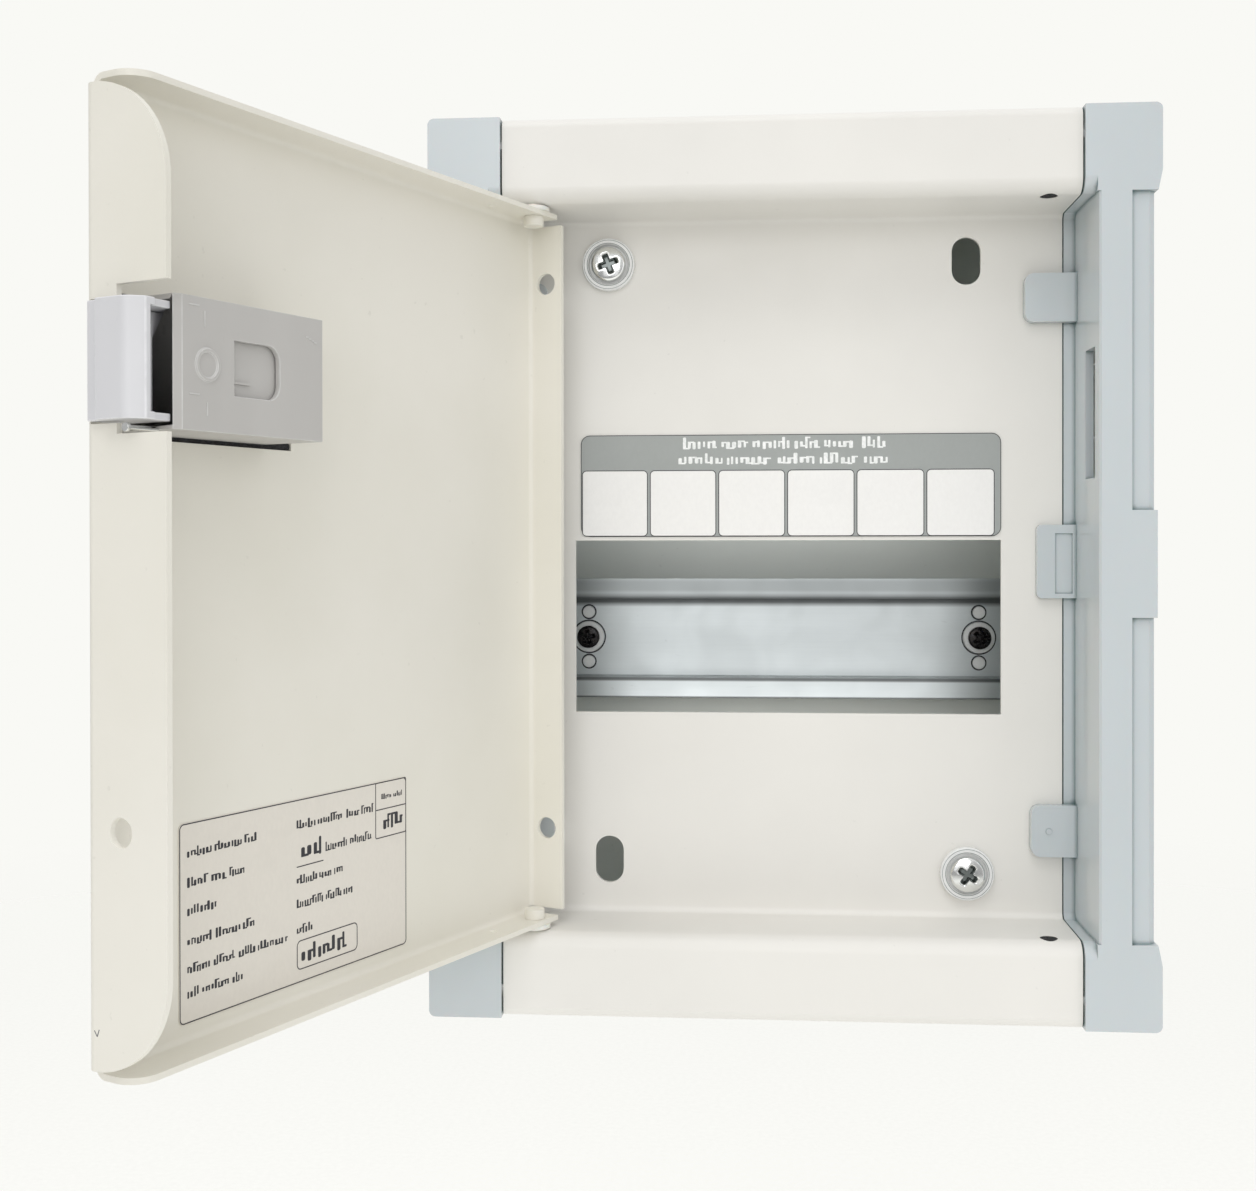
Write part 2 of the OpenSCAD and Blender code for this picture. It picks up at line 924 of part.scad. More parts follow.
back_box();
rail_brackets();
din_rail();
rail_rivets();
rail_washers();
rail_screws();
neutral_supports();
neutral_bar();
neutral_screws();
earth_posts();
earth_bar();
earth_screws();
cover_posts();
front_cover();
left_side_bar();
right_side_bar();
side_bar_screws();
marking_strip();
marking_labels();
cover_screw_bushes();
cover_screws();
door_panel();
door_label();
hinge_pin_top();
hinge_pin_bottom();
hinge_washers();
latch_bezel();
latch_housing();
latch_bolt();
latch_spring();
latch_wire();
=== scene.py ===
"""The looks of a small residential load centre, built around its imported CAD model.

Everything is in metres in the model's own frame: X to the right, Y back to the wall, Z up.
Places on the door are given as on the shut door and turned to where the open door stands.
"""

import json
import math
import random

import bmesh
import bpy
from mathutils import Matrix, Vector


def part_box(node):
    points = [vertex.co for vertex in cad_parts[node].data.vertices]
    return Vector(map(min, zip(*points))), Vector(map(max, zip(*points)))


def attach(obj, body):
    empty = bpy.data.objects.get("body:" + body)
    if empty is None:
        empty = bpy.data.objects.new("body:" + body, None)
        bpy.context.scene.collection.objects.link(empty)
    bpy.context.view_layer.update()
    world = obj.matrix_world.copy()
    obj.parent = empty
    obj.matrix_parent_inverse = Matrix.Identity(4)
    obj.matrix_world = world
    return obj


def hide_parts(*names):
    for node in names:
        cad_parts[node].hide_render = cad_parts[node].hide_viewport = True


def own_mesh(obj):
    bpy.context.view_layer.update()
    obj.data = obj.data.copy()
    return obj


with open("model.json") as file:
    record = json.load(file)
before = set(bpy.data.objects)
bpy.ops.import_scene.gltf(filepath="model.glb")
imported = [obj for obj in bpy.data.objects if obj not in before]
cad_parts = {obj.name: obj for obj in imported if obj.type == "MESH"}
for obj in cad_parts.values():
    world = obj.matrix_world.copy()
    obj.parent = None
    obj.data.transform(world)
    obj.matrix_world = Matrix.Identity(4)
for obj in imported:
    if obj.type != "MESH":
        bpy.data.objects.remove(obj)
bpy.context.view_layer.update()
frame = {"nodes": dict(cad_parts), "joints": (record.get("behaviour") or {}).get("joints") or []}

MM = 0.001
NODES = frame["nodes"]
JOINTS = {joint["name"]: joint for joint in frame["joints"]}
HINGE = Vector(JOINTS["door_hinge"]["pos_m"])
DOOR_OPEN = math.radians(JOINTS["door_hinge"]["range_deg"][1])
TURN = Matrix.Rotation(-DOOR_OPEN, 4, "Z")
FROM_SHUT = Matrix.Translation(HINGE) @ TURN @ Matrix.Translation(-HINGE)
TO_SHUT = FROM_SHUT.inverted()


def shut_box(node):
    """Lowest and highest corner of a door node, measured as if the door were shut."""
    corners = [TO_SHUT @ vertex.co for vertex in NODES[node].data.vertices]
    low = Vector([min(c[i] for c in corners) for i in range(3)])
    high = Vector([max(c[i] for c in corners) for i in range(3)])
    return low, high


# ---- materials ----

def linear(red, green, blue):
    """An 8-bit sRGB colour as linear RGBA."""
    channels = []
    for value in (red, green, blue):
        c = value / 255
        channels.append(c / 12.92 if c <= 0.04045 else ((c + 0.055) / 1.055) ** 2.4)
    return (*channels, 1.0)


def scaled(colour, factor):
    """A colour made lighter or darker, never past white."""
    return tuple(min(1.0, c * factor) for c in colour[:3]) + (1.0,)


class Nodes:
    """A material's node tree, with short calls for the nodes used here."""

    def __init__(self, name):
        self.material = bpy.data.materials.new(name)
        self.material.use_nodes = True
        self.tree = self.material.node_tree
        self.shader = self.tree.nodes["Principled BSDF"]
        self.place = self.add("ShaderNodeTexCoord").outputs["Object"]

    def add(self, kind, **settings):
        node = self.tree.nodes.new(kind)
        for key, value in settings.items():
            setattr(node, key, value)
        return node

    def link(self, source, target):
        self.tree.links.new(source, target)

    def stretched(self, stretch):
        mapping = self.add("ShaderNodeMapping")
        mapping.inputs["Scale"].default_value = stretch
        self.link(self.place, mapping.inputs["Vector"])
        return mapping.outputs["Vector"]

    def noise(self, size, detail=3.0, stretch=(1, 1, 1), distortion=0.0):
        """Noise from 0 to 1 whose features are about size metres across."""
        node = self.add("ShaderNodeTexNoise")
        node.inputs["Scale"].default_value = 1 / size
        node.inputs["Detail"].default_value = detail
        node.inputs["Distortion"].default_value = distortion
        self.link(self.stretched(stretch), node.inputs["Vector"])
        return node.outputs["Fac"]

    def remap(self, source, low, high, to_low, to_high):
        node = self.add("ShaderNodeMapRange")
        node.inputs["From Min"].default_value = low
        node.inputs["From Max"].default_value = high
        node.inputs["To Min"].default_value = to_low
        node.inputs["To Max"].default_value = to_high
        self.link(source, node.inputs["Value"])
        return node.outputs["Result"]

    def blend(self, factor, first, second):
        """Mixes two colours, each a socket or a fixed colour."""
        node = self.add("ShaderNodeMix", data_type="RGBA")
        self.link(factor, node.inputs[0])
        for socket, colour in ((node.inputs[6], first), (node.inputs[7], second)):
            if isinstance(colour, tuple):
                socket.default_value = colour
            else:
                self.link(colour, socket)
        return node.outputs[2]

    def near_height(self, height, reach):
        """1 at that height in Z, falling to 0 at reach metres above or below it."""
        split = self.add("ShaderNodeSeparateXYZ")
        self.link(self.place, split.inputs[0])
        off = self.add("ShaderNodeMath", operation="SUBTRACT")
        self.link(split.outputs["Z"], off.inputs[0])
        off.inputs[1].default_value = height
        far = self.add("ShaderNodeMath", operation="ABSOLUTE")
        self.link(off.outputs[0], far.inputs[0])
        return self.remap(far.outputs[0], reach * 0.35, reach, 0.85, 0)

    def openness(self, reach):
        """1 in the open, falling to 0 deep in a corner, looking reach metres around."""
        node = self.add("ShaderNodeAmbientOcclusion", samples=8)
        node.inputs["Distance"].default_value = reach
        return node.outputs["AO"]

    def bump(self, height, depth, strength=1.0, under=None):
        """Bumps of about depth metres; under is a coarser bump's normal."""
        node = self.add("ShaderNodeBump")
        node.inputs["Strength"].default_value = strength
        node.inputs["Distance"].default_value = depth
        self.link(height, node.inputs["Height"])
        if under is not None:
            self.link(under, node.inputs["Normal"])
        return node.outputs["Normal"]

    def colour(self, source):
        self.link(source, self.shader.inputs["Base Color"])

    def roughness(self, source):
        self.link(source, self.shader.inputs["Roughness"])

    def normal(self, source):
        self.link(source, self.shader.inputs["Normal"])

    def fixed(self, **sockets):
        for name, value in sockets.items():
            self.shader.inputs[name.replace("_", " ")].default_value = value


def powder_coat(name, base, rough=0.42, drift=0.025, tint=None):
    """Smooth satin paint: slow tone drift, orange peel and a few dull dust nibs."""
    n = Nodes(name)
    slow = n.remap(n.noise(0.07, 4), 0.35, 0.65, 0, 1)
    tone = n.blend(slow, scaled(base, 1 - drift), scaled(tint or base, 1 + drift))
    nibs = n.remap(n.noise(0.0021, 2), 0.73, 0.78, 0, 0.35)
    n.colour(n.blend(nibs, tone, scaled(base, 0.82)))
    n.roughness(n.remap(n.noise(0.012, 5), 0.3, 0.7, rough - 0.06, rough + 0.07))
    peel = n.bump(n.noise(0.0014, 2), 0.00003, 0.5)
    n.normal(n.bump(n.noise(0.00035, 1), 0.000006, 0.35, peel))
    n.fixed(Specular_IOR_Level=0.5)
    return n.material


def worn_edge(name, base, rough=0.34):
    """The rubbed rim of a painted or moulded edge: a little lighter and smoother, in patches."""
    n = Nodes(name)
    patches = n.remap(n.noise(0.004, 5, distortion=0.6), 0.42, 0.62, 0, 1)
    n.colour(n.blend(patches, scaled(base, 0.97), scaled(base, 1.07)))
    n.roughness(n.remap(patches, 0, 1, rough + 0.08, rough - 0.06))
    n.normal(n.bump(n.noise(0.0006, 3), 0.00001, 0.4))
    return n.material


def moulded(name, base, rough=0.36, grain=0.0005, grain_depth=0.000008, drift=0.03, soft=0.0,
            shade_reach=0.0):
    """Injection-moulded plastic: fine spark-eroded grain, flow drift and handling sheen.

    Painted shade darkens inner corners closer than the given reach in metres.
    """
    n = Nodes(name)
    flow = n.remap(n.noise(0.03, 3, (1, 1, 0.35), 0.8), 0.35, 0.65, 0, 1)
    tone = n.blend(flow, scaled(base, 1 - drift), scaled(base, 1 + drift))
    specks = n.remap(n.noise(0.0016, 2), 0.74, 0.8, 0, 0.2)
    tone = n.blend(specks, tone, scaled(base, 0.8))
    # Painted shade: inner corners turn dark blue-green where ambient occlusion finds them.
    if shade_reach:
        corner_shade = n.remap(n.openness(shade_reach), 0.35, 0.85, 1, 0)
        tone = n.blend(corner_shade, tone, (0.12, 0.19, 0.19, 1))
    n.colour(tone)
    n.roughness(n.remap(n.noise(0.009, 5), 0.3, 0.7, rough * 0.82, rough * 1.22))
    waves = n.bump(n.noise(0.011, 2), 0.00002, 0.25)
    n.normal(n.bump(n.noise(grain, 2), grain_depth, 0.6, waves))
    if soft:
        n.fixed(Subsurface_Weight=soft, Subsurface_Scale=0.0012)
    return n.material


def zinc(name, base, rough=0.3, along=(0.03, 1, 1), cloud=0.05, shade_bands=()):
    """Plated steel: rolling lines along one axis, faint cloudy passivation, fine scratches.

    The last argument lists painted shade bands along X, as (height, reach, share of tone left).
    """
    n = Nodes(name)
    clouds = n.remap(n.noise(0.013, 5, distortion=1.0), 0.35, 0.68, 0, 1)
    lines = n.noise(0.0007, 4, along)
    tone = n.blend(clouds, scaled(base, 1 - cloud), scaled(base, 1 + cloud / 2))
    streak = n.remap(lines, 0.3, 0.7, 0, 0.18)
    tone = n.blend(streak, tone, scaled(base, 0.86))
    marks = n.remap(n.noise(0.0035, 6, (0.4, 1.3, 2.1), 2.0), 0.69, 0.74, 0, 0.35)
    tone = n.blend(marks, tone, scaled(base, 0.78))
    # Painted shade: each listed band darkens the tone near its height.
    for height, reach, left in shade_bands:
        tone = n.blend(n.near_height(height, reach), tone, scaled(base, left))
    n.colour(tone)
    n.roughness(n.remap(clouds, 0, 1, rough + 0.03, rough - 0.03))
    rolled = n.bump(lines, 0.000012, 0.5)
    n.normal(n.bump(n.noise(0.0004, 2), 0.000004, 0.3, rolled))
    n.fixed(Metallic=1.0)
    return n.material


def brass(name):
    """Drawn brass bar with brown tarnish that gathers in clouds."""
    n = Nodes(name)
    base = (0.73, 0.5, 0.2, 1)
    tarnish = n.remap(n.noise(0.006, 6, distortion=1.2), 0.48, 0.7, 0, 0.7)
    lines = n.noise(0.0005, 3, (0.04, 1, 1))
    n.colour(n.blend(tarnish, base, (0.36, 0.22, 0.09, 1)))
    n.roughness(n.remap(tarnish, 0, 0.7, 0.24, 0.5))
    n.normal(n.bump(lines, 0.00001, 0.5))
    n.fixed(Metallic=1.0)
    return n.material


def black_oxide(name):
    """Blackened steel: mottled, slightly brown, with an oily sheen."""
    n = Nodes(name)
    mottle = n.remap(n.noise(0.0012, 5, distortion=0.8), 0.4, 0.65, 0, 1)
    n.colour(n.blend(mottle, (0.012, 0.012, 0.014, 1), (0.045, 0.04, 0.038, 1)))
    n.roughness(n.remap(mottle, 0, 1, 0.22, 0.42))
    n.normal(n.bump(n.noise(0.0005, 3), 0.00001, 0.5))
    n.fixed(Metallic=0.6)
    return n.material


def film(name, base, rough=0.5, fibre=0.0007, drift=0.015):
    """Printed paper or vinyl film: faint fibres, slight waviness, finger marks."""
    n = Nodes(name)
    pulp = n.remap(n.noise(fibre, 4, (1, 1, 0.6)), 0.3, 0.7, 0, 1)
    tone = n.blend(pulp, scaled(base, 1 - drift), scaled(base, 1 + drift))
    marks = n.remap(n.noise(0.011, 4, distortion=0.5), 0.58, 0.72, 0, 0.3)
    n.colour(n.blend(marks, tone, scaled(base, 0.94)))
    n.roughness(n.remap(n.noise(0.006, 3), 0.3, 0.7, rough - 0.08, rough + 0.08))
    waves = n.bump(n.noise(0.012, 1), 0.00005, 0.3)
    n.normal(n.bump(n.noise(fibre, 3), 0.000005, 0.4, waves))
    return n.material


def ink(name, base):
    """Printed ink, a little uneven where the print is thin."""
    n = Nodes(name)
    thin = n.remap(n.noise(0.0009, 3), 0.35, 0.7, 0, 1)
    n.colour(n.blend(thin, base, scaled(base, 1.5)))
    n.roughness(n.remap(thin, 0, 1, 0.45, 0.6))
    n.normal(n.bump(n.noise(0.0004, 2), 0.000004, 0.3))
    return n.material


# This black foam serves only as painted shade, in holes and gaps that are only dark.
def foam(name):
    """Black closed-cell foam with open pores at its cut face."""
    n = Nodes(name)
    pores = n.remap(n.noise(0.0003, 3), 0.45, 0.6, 0, 1)
    n.colour(n.blend(pores, (0.03, 0.03, 0.032, 1), (0.008, 0.008, 0.009, 1)))
    n.roughness(n.remap(pores, 0, 1, 0.85, 1.0))
    n.normal(n.bump(pores, 0.00008, 0.8))
    return n.material


def clear_plastic(name):
    """Clear moulding with faint flow waves and hairline scuffs."""
    n = Nodes(name)
    scuffs = n.remap(n.noise(0.0012, 5, (1, 1, 0.25)), 0.5, 0.72, 0, 1)
    n.colour(n.blend(scuffs, (0.95, 0.955, 0.95, 1), (0.88, 0.89, 0.89, 1)))
    n.roughness(n.remap(scuffs, 0, 1, 0.06, 0.22))
    n.normal(n.bump(n.noise(0.003, 3), 0.00006, 0.4))
    n.fixed(Transmission_Weight=0.12, IOR=1.46)
    return n.material


PAINT = linear(233, 231, 226)
DOOR_PAINT = linear(233, 230, 219)
BOX_PAINT = linear(236, 241, 237)
BLUE_GREY = linear(200, 207, 210)
LATCH_GREY = linear(190, 188, 185)
BOLT_GREY = linear(214, 214, 217)
ZINC = (0.70, 0.745, 0.755, 1)
NICKEL = (0.83, 0.84, 0.83, 1)
STEEL = (0.72, 0.73, 0.73, 1)

RAIL_LOW, RAIL_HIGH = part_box("din_rail")
RAIL_LIP = 5 * MM
# Bands of painted shade along the rail, darkening its upper lip, the shadowed corner under
# that lip, the corner over the lower lip and the lower lip's edge.
RAIL_PAINTED_SHADE = [
    (RAIL_HIGH.z - 2.2 * MM, 3.4 * MM, 0.55),
    (RAIL_HIGH.z - RAIL_LIP - 1.4 * MM, 2.2 * MM, 0.1),
    (RAIL_LOW.z + RAIL_LIP + 0.5 * MM, 0.8 * MM, 0.12),
    (RAIL_LOW.z, 0.6 * MM, 0.12),
]

FINISHES = {
    "cover_paint": powder_coat("cover_paint", PAINT),
    "door_paint": powder_coat("door_paint", DOOR_PAINT, 0.4, 0.02, linear(235, 232, 223)),
    "box_paint": powder_coat("box_paint", BOX_PAINT, 0.5),
    # The bar plastic's last number is how far its painted corner shade reaches.
    "bar_plastic": moulded("bar_plastic", BLUE_GREY, 0.13, 0.0009, 0.000002, 0.012, 0.08, 1.6 * MM),
    "latch_plastic": moulded("latch_plastic", LATCH_GREY, 0.44, 0.0004, 0.00001),
    "bolt_plastic": moulded("bolt_plastic", BOLT_GREY, 0.36, 0.0006, 0.000006),
    "nylon": moulded("nylon", linear(233, 232, 226), 0.42, 0.0008, 0.000006, 0.02, 0.15),
    "insulator": moulded("insulator", linear(62, 98, 168), 0.38, 0.0006, 0.00001),
    "rail_zinc": zinc("rail_zinc", ZINC, 0.4, cloud=0.02, shade_bands=RAIL_PAINTED_SHADE),
    "bracket_zinc": zinc("bracket_zinc", STEEL, 0.38, (1, 1, 0.03)),
    "bright_zinc": zinc("bright_zinc", NICKEL, 0.2, (1, 1, 1), 0.06),
    "nickel": zinc("nickel", NICKEL, 0.14, (1, 1, 1), 0.04),
    # Dark metal for the floors of the cover screws' cross recesses: painted shade.
    "recess": zinc("recess", (0.2, 0.22, 0.215, 1), 0.3, (1, 1, 1)),
    "rivet_plate": zinc("rivet_plate", (0.95, 0.96, 0.955, 1), 0.55, (1, 1, 1), 0.03),
    "black_oxide": black_oxide("black_oxide"),
    "brass": brass("brass"),
    "strip_film": film("strip_film", linear(161, 165, 163), 0.42),
    "square_film": film("square_film", linear(243, 242, 240), 0.5),
    "label_paper": film("label_paper", linear(228, 223, 214), 0.55),
    "clear_plastic": clear_plastic("clear_plastic"),
    # Painted shade: the black foam fills holes and gaps that show only dark.
    "foam": foam("foam"),
    # The grey ink draws only painted shade on the bushes; the dark ink draws print and shade rings.
    "grey_shade_lines": ink("grey_shade_lines", (0.22, 0.24, 0.235, 1)),
    "pencil": ink("pencil", (0.13, 0.13, 0.14, 1)),
    "dark_ink_and_shade": ink("dark_ink_and_shade", (0.022, 0.022, 0.028, 1)),
    "pale_ink": ink("pale_ink", (0.8, 0.82, 0.81, 1)),
    "cover_edge": worn_edge("cover_edge", linear(237, 236, 233)),
    "door_edge": worn_edge("door_edge", linear(238, 236, 228)),
    "bar_edge": worn_edge("bar_edge", linear(208, 214, 217), 0.26),
    "latch_edge": worn_edge("latch_edge", linear(203, 202, 200)),
    "bolt_edge": worn_edge("bolt_edge", linear(224, 224, 227), 0.3),
}


# ---- the CAD parts' finishes and soft edges ----

def soften(node, width, edge, angle=32, segments=2):
    """Rounds a CAD part's sharp edges and gives the rounded rim its own finish."""
    obj = NODES[node]
    mesh = obj.data
    mesh.polygons.foreach_set("use_smooth", [True] * len(mesh.polygons))
    weld = obj.modifiers.new("weld", "WELD")
    weld.merge_threshold = 0.000002
    flat = obj.modifiers.new("flat", "DECIMATE")
    flat.decimate_type = "DISSOLVE"
    flat.angle_limit = math.radians(0.3)
    bevel = obj.modifiers.new("bevel", "BEVEL")
    bevel.width = width
    bevel.segments = segments
    bevel.limit_method = "ANGLE"
    bevel.angle_limit = math.radians(angle)
    bevel.use_clamp_overlap = True
    bevel.harden_normals = False
    if edge:
        bevel.material = 1
    normals = obj.modifiers.new("normals", "WEIGHTED_NORMAL")
    normals.weight = 90
    normals.keep_sharp = False


def dress(node, finish, edge=None, width=0.0, angle=32):
    """Sets a CAD part's finish, and its rim's finish and width where it has soft edges."""
    mesh = NODES[node].data
    mesh.materials.clear()
    mesh.materials.append(FINISHES[finish])
    if edge:
        mesh.materials.append(FINISHES[edge])
    if width:
        soften(node, width, edge, angle)


DRESSING = [
    ("back_box", "box_paint", "cover_edge", 0.25),
    ("rail_brackets", "bracket_zinc", None, 0.2),
    ("din_rail", "rail_zinc", None, 0.22),
    ("rail_rivets", "rivet_plate", None, 0.35),
    ("rail_washers", "rivet_plate", None, 0.2),
    ("rail_screws", "black_oxide", None, 0),
    ("neutral_supports", "insulator", None, 0.3),
    ("neutral_bar", "brass", None, 0.2),
    ("neutral_screws", "bright_zinc", None, 0.15),
    ("earth_posts", "bracket_zinc", None, 0.2),
    ("earth_bar", "brass", None, 0.2),
    ("earth_screws", "bright_zinc", None, 0.15),
    ("cover_posts", "bracket_zinc", None, 0.2),
    ("front_cover", "cover_paint", "cover_edge", 0.18),
    ("left_side_bar", "bar_plastic", "bar_edge", 0.3),
    ("right_side_bar", "bar_plastic", "bar_edge", 0.3),
    ("side_bar_screws", "bright_zinc", None, 0.15),
    ("marking_strip", "strip_film", None, 0.05),
    ("marking_labels", "square_film", None, 0.04),
    ("cover_screw_bushes", "clear_plastic", None, 0.35),
    ("cover_screws", "nickel", None, 0),
    ("door_panel", "door_paint", "door_edge", 0.18),
    ("door_label", "label_paper", None, 0.05),
    ("hinge_pin_top", "door_paint", None, 0.5),
    ("hinge_pin_bottom", "door_paint", None, 0.5),
    ("hinge_washers", "nylon", None, 0.2),
    ("latch_bezel", "latch_plastic", "latch_edge", 0.3),
    ("latch_housing", "latch_plastic", "latch_edge", 0.25),
    ("latch_bolt", "bolt_plastic", "bolt_edge", 0.25),
    ("latch_wire", "bright_zinc", None, 0.1),
]
for node, finish, edge, width in DRESSING:
    dress(node, finish, edge, width * MM)


# ---- pieces made here ----

def add_piece(name, mesh, finish, body):
    """Puts a mesh in the scene with its finish and the body it rides."""
    obj = bpy.data.objects.new(name, mesh)
    bpy.context.scene.collection.objects.link(obj)
    mesh.materials.append(FINISHES[finish])
    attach(obj, body)
    return obj


def rounded_outline(u0, u1, v0, v1, r, steps):
    """The points of a rectangle whose corners are arcs of radius r, each in that many steps."""
    centres = ((u1 - r, v1 - r), (u0 + r, v1 - r), (u0 + r, v0 + r), (u1 - r, v0 + r))
    points = []
    for i, (cu, cv) in enumerate(centres):
        for k in range(steps + 1):
            a = (i + k / steps) * math.pi / 2
            points.append((cu + r * math.cos(a), cv + r * math.sin(a)))
    return points


def pill(work, u0, u1, v0, v1, depth, corner, place):
    """Adds a thin flat block with round corners, from (u0, v0) to (u1, v1), depth proud."""
    r = min(corner, (u1 - u0) / 2.001, (v1 - v0) / 2.001)
    outline = rounded_outline(u0, u1, v0, v1, r, 3)
    low = [work.verts.new(place(u, v, 0.0)) for u, v in outline]
    top = [work.verts.new(place(u, v, depth)) for u, v in outline]
    work.faces.new(top)
    work.faces.new(low[::-1])
    count = len(outline)
    for i in range(count):
        j = (i + 1) % count
        work.faces.new((low[i], low[j], top[j], top[i]))


def greeked_line(work, rng, u0, u1, v, height, depth, place):
    """A line of unreadable print: words made of short upright strokes and bars."""
    u = u0
    while u < u1 - height * 0.3:
        word_end = min(u1, u + height * rng.uniform(1.6, 4.2))
        while u < word_end - height * 0.12:
            stroke = height * rng.uniform(0.16, 0.34)
            low = v - height * rng.uniform(0.3, 0.5)
            high = v + height * rng.choice((0.12, 0.16, 0.22, 0.5))
            right = min(u + stroke, word_end)
            pill(work, u, right, low, high, depth, stroke * 0.3, place)
            if rng.random() < 0.55:
                bar = height * 0.13
                bar_v = rng.choice((low, high - bar))
                pill(work, u, min(u + stroke * 2.1, word_end), bar_v, bar_v + bar, depth * 0.9,
                     bar * 0.3, place)
            u += stroke + height * rng.uniform(0.12, 0.22)
        u = word_end + height * rng.uniform(0.3, 0.55)


def frame_line(work, u0, u1, v0, v1, width, corner, depth, place, steps=5):
    """A thin printed frame with round corners."""
    rings = []
    for inset in (0.0, width):
        r = max(corner - inset, width * 0.4)
        rings.append(rounded_outline(u0 + inset, u1 - inset, v0 + inset, v1 - inset, r, steps))
    count = len(rings[0])
    low = [[work.verts.new(place(u, v, 0.0)) for u, v in ring] for ring in rings]
    top = [[work.verts.new(place(u, v, depth)) for u, v in ring] for ring in rings]
    for i in range(count):
        j = (i + 1) % count
        work.faces.new((top[0][i], top[0][j], top[1][j], top[1][i]))
        work.faces.new((low[0][j], low[0][i], low[1][i], low[1][j]))
        work.faces.new((low[0][i], low[0][j], top[0][j], top[0][i]))
        work.faces.new((low[1][j], low[1][i], top[1][i], top[1][j]))


def closed_mesh(name, work):
    """Ends the work on a closed shape and returns it as a mesh with its normals outward."""
    bmesh.ops.recalc_face_normals(work, faces=work.faces)
    mesh = bpy.data.meshes.new(name)
    work.to_mesh(mesh)
    work.free()
    return mesh


INK = 0.03 * MM


def strip_print():
    """Two centred rows of pale greeked print on the marking strip's header."""
    low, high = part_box("marking_strip")
    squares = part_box("marking_labels")
    header = high.z - squares[1].z
    middle = (low.x + high.x) / 2 - 1.3 * MM
    rng = random.Random(11)
    work = bmesh.new()

    def place(u, v, d):
        return Vector((u, low.y - d, v))

    for share, half in ((0.24, 26.4 * MM), (0.68, 27.6 * MM)):
        v = high.z - share * header
        greeked_line(work, rng, middle - half, middle + half, v, 3.2 * MM, INK, place)
    add_piece("strip_print", closed_mesh("strip_print", work), "pale_ink", "enclosure")


def square_frames():
    """Thin dark lines printed round the strip and each write-on square."""
    low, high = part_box("marking_labels")
    strip_low, strip_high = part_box("marking_strip")
    count = 6
    pitch = 18 * MM
    first = (low.x + high.x) / 2 - (count - 1) / 2 * pitch
    size = high.z - low.z
    work = bmesh.new()

    def place(u, v, d):
        return Vector((u, strip_low.y - d, v))

    grow = 0.22 * MM
    for i in range(count):
        x = first + i * pitch
        frame_line(work, x - size / 2 - grow, x + size / 2 + grow, low.z - grow, high.z + grow,
                   0.2 * MM, 1.2 * MM, INK, place)
    frame_line(work, strip_low.x + 0.02 * MM, strip_high.x - 0.02 * MM, strip_low.z + 0.02 * MM,
               strip_high.z - 0.02 * MM, 0.16 * MM, 2.38 * MM, INK, place)
    add_piece("strip_lines", closed_mesh("strip_lines", work), "dark_ink_and_shade", "enclosure")


def label_print():
    """The data sticker: a frame, two columns of greeked rows and two small boxes."""
    low, high = shut_box("door_label")
    width, height = high.x - low.x, high.z - low.z
    rng = random.Random(5)
    work = bmesh.new()

    def place(u, v, d):
        return FROM_SHUT @ Vector((high.x - u * width, high.y + d, high.z - v * height))

    def row(u0, u1, v, size):
        def local(u, w, d):
            return FROM_SHUT @ Vector((high.x - u, high.y + d, high.z - v * height + w))
        greeked_line(work, rng, u0 * width, u1 * width, 0.0, size, INK, local)

    text = 2.0 * MM
    for v, end in zip((0.15, 0.30, 0.44, 0.59, 0.73, 0.85), (0.30, 0.25, 0.14, 0.29, 0.43, 0.25)):
        row(0.03, end, v, text)
    for v, start, end in zip((0.14, 0.295, 0.44, 0.57, 0.71), (0.47, 0.60, 0.47, 0.47, 0.47),
                             (0.83, 0.82, 0.68, 0.73, 0.54)):
        row(start, end, v, text)
    # The larger words and the two small boxes' contents
    row(0.49, 0.58, 0.28, 4.0 * MM)
    row(0.87, 0.98, 0.09, 1.3 * MM)
    row(0.88, 0.98, 0.24, 3.4 * MM)
    row(0.49, 0.73, 0.85, 3.8 * MM)

    line = 0.22 * MM

    def plain(u, v, d):
        return FROM_SHUT @ Vector((high.x - u, high.y + d, high.z - v))

    def rule(u0, u1, v):
        pill(work, u0, u1, v, v + line, INK, line / 3, plain)

    def box(u0, u1, v0, v1, corner):
        frame_line(work, u0, u1, v0, v1, line, corner, INK, plain)

    margin = 0.1 * MM
    rule(0.47 * width, 0.59 * width, 0.365 * height)
    box(margin, width - margin, margin, height - margin, 1.1 * MM)
    box(0.47 * width, 0.75 * width, 0.77 * height, 0.93 * height, 1.2 * MM)
    box(0.84 * width, width - margin, margin, 0.33 * height, 0.5 * MM)
    rule(0.84 * width, width - 0.2 * MM, 0.16 * height)
    add_piece("label_print", closed_mesh("label_print", work), "dark_ink_and_shade", "door")


